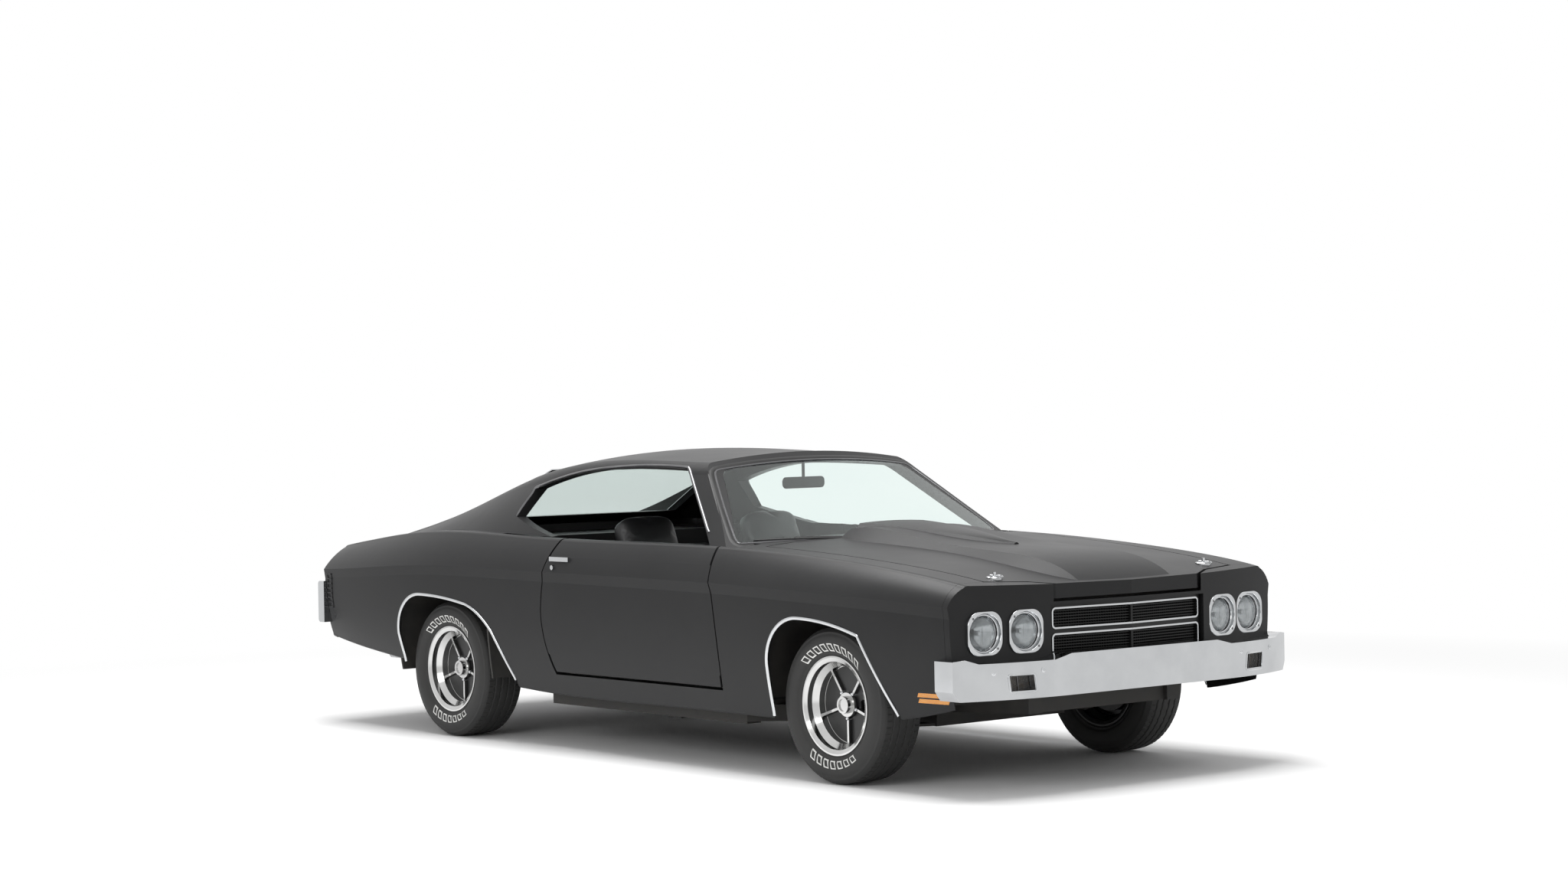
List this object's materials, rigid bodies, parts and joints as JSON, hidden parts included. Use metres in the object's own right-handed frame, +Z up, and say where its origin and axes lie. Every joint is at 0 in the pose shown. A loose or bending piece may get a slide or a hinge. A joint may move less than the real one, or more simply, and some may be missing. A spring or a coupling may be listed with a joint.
{
  "type": "two-door hardtop muscle car",
  "caption": "Full-size two-door hardtop coupe with a hollow cabin, opening doors, hood and trunk lid, steering front wheels and rolling wheels.",
  "frame": {"origin": "On the ground, midway along and across the car, under its middle.", "axes": "+X forward, +Y to the car's left, +Z up."},
  "size_m": [5.009, 1.914, 1.358],
  "materials": {
    "paint": "satin black paint",
    "underbody": "matt black underbody coating",
    "chrome": "bright chrome plate",
    "clear_lens": "fluted clear lamp glass",
    "amber_lens": "amber lens",
    "red_lens": "red lens",
    "glass": "tinted safety glass",
    "vinyl": "black vinyl upholstery",
    "black_plastic": "black moulded plastic",
    "engine_iron": "dark cast iron",
    "rim": "bright trim ring with black spokes",
    "tyre": "black rubber"
  },
  "bodies": {
    "chassis": {"cowl": "paint", "dashboard": "vinyl", "driveshaft": "underbody", "engine": "engine_iron", "exhaust": "underbody", "fender_left": "paint", "fender_right": "paint", "floor_pan": "underbody", "frame": "underbody", "front_arms": "underbody", "front_bumper": "chrome", "front_header": "paint", "front_seats": "vinyl", "fuel_tank": "underbody", "gearbox": "engine_iron", "grille": "black_plastic", "grille_trim": "chrome", "headlamp_bezels": "chrome", "headlamps": "clear_lens", "inside_mirror": "black_plastic", "quarter_left": "paint", "quarter_right": "paint", "radiator_support": "underbody", "rear_axle": "underbody", "rear_bumper": "chrome", "rear_deck": "paint", "rear_seat": "vinyl", "rockers": "paint", "roof": "paint", "side_markers": "amber_lens", "steering_column": "black_plastic", "tail_lamps": "red_lens", "tail_panel": "paint", "turn_lamps": "clear_lens", "wheelhouses": "underbody", "windows": "glass"},
    "knuckle_left": {"knuckle_left": "underbody"},
    "knuckle_right": {"knuckle_right": "underbody"},
    "door_left": {"door_left": "paint", "door_handles_left": "chrome"},
    "door_right": {"door_right": "paint", "door_handles_right": "chrome"},
    "hood": {"hood": "paint", "hood_pins": "chrome"},
    "decklid": {"decklid": "paint"},
    "steering_wheel": {"steering_wheel": "black_plastic"},
    "wheel_front_left": {"wheel_front_left": "rim", "tyre_front_left": "tyre"},
    "wheel_front_right": {"wheel_front_right": "rim", "tyre_front_right": "tyre"},
    "wheel_rear_left": {"wheel_rear_left": "rim", "tyre_rear_left": "tyre"},
    "wheel_rear_right": {"wheel_rear_right": "rim", "tyre_rear_right": "tyre"}
  },
  "joints": [
    {"name": "steer_left", "type": "hinge", "parent": "chassis", "child": "knuckle_left", "pos_m": [1.5695, 0.668, 0.322], "axis": [0, -0.1219, 0.9925], "range_deg": [-32, 32]},
    {"name": "steer_right", "type": "hinge", "parent": "chassis", "child": "knuckle_right", "pos_m": [1.5695, -0.668, 0.322], "axis": [0, 0.1219, 0.9925], "range_deg": [-32, 32]},
    {"name": "steering_wheel_turn", "type": "hinge", "parent": "chassis", "child": "steering_wheel", "pos_m": [0.42, 0.37, 0.8], "axis": [-0.9135, 0, 0.4067], "range_deg": [-512, 512]},
    {"name": "roll_front_left", "type": "hinge", "parent": "knuckle_left", "child": "wheel_front_left", "pos_m": [1.5695, 0.761, 0.322], "axis": [0, 1, 0], "continuous": true},
    {"name": "roll_front_right", "type": "hinge", "parent": "knuckle_right", "child": "wheel_front_right", "pos_m": [1.5695, -0.761, 0.322], "axis": [0, 1, 0], "continuous": true},
    {"name": "roll_rear_left", "type": "hinge", "parent": "chassis", "child": "wheel_rear_left", "pos_m": [-1.2755, 0.761, 0.322], "axis": [0, 1, 0], "continuous": true},
    {"name": "roll_rear_right", "type": "hinge", "parent": "chassis", "child": "wheel_rear_right", "pos_m": [-1.2755, -0.761, 0.322], "axis": [0, 1, 0], "continuous": true},
    {"name": "door_left_swing", "type": "hinge", "parent": "chassis", "child": "door_left", "pos_m": [0.884, 0.945, 0.6], "axis": [0, 0, -1], "range_deg": [0, 62]},
    {"name": "door_right_swing", "type": "hinge", "parent": "chassis", "child": "door_right", "pos_m": [0.884, -0.945, 0.6], "axis": [0, 0, 1], "range_deg": [0, 62]},
    {"name": "hood_lift", "type": "hinge", "parent": "chassis", "child": "hood", "pos_m": [0.966, 0, 0.978], "axis": [0, -1, 0], "range_deg": [0, 48]},
    {"name": "decklid_lift", "type": "hinge", "parent": "chassis", "child": "decklid", "pos_m": [-1.6, 0, 0.98], "axis": [0, 1, 0], "range_deg": [0, 62]}
  ],
  "couplings": [
    {"joint": "steer_right", "follows": "steer_left", "ratio": 1},
    {"joint": "steering_wheel_turn", "follows": "steer_left", "ratio": 16}
  ]
}
